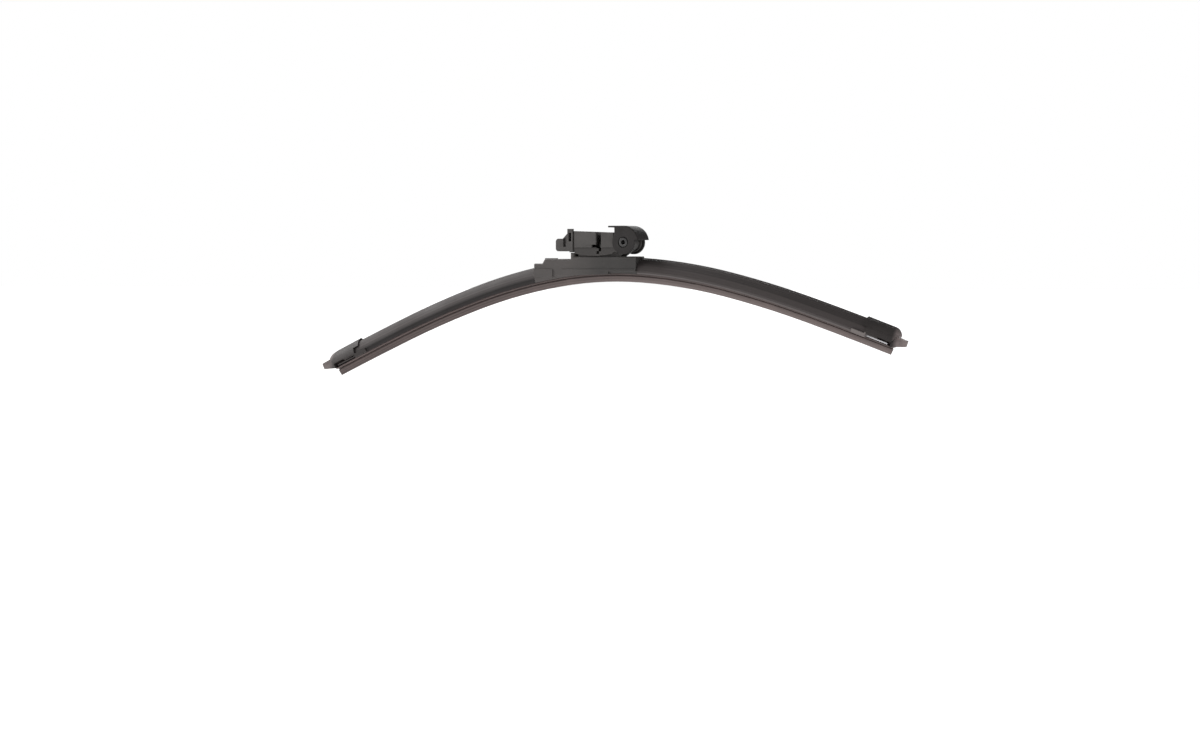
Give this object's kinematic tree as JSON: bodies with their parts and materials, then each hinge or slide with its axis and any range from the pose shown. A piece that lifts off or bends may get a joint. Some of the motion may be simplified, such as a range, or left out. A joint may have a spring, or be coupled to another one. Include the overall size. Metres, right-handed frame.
{
  "type": "wiper blade",
  "caption": "Flat car wiper blade: arched wiping rubber on spring strips under a soft spoiler, closed by end caps, with a pivoting snap-in adapter for the wiper arm.",
  "frame": {"origin": "on the rivet's axis in the blade's mid-plane, where the arm's channel is centred", "axes": "+X along the blade to the end nearer the pivot, +Y to the spoiler's ridge side, +Z away from the glass"},
  "size_m": [0.4321, 0.0182, 0.1029],
  "materials": {
    "rubber": "matte",
    "spring": "satin",
    "spoiler": "matte",
    "cap": "satin",
    "base": "fine grain",
    "rivet": "black coated",
    "adapter": "fine grain",
    "hood": "fine grain"
  },
  "bodies": {
    "adapter": {"arm_adapter": "adapter", "pivot_hood": "hood", "pivot_rivet": "rivet"},
    "blade": {"wiping_rubber": "rubber", "spring_strip_front": "spring", "spring_strip_rear": "spring", "spoiler_left": "spoiler", "spoiler_right": "spoiler", "end_cap_left": "cap", "end_cap_right": "cap", "connector_base": "base"}
  },
  "joints": [
    {"name": "blade_pivot", "type": "hinge", "parent": "adapter", "child": "blade", "pos_m": [0, 0, 0], "axis": [0, -1, 0], "range_deg": [0, 50]}
  ]
}
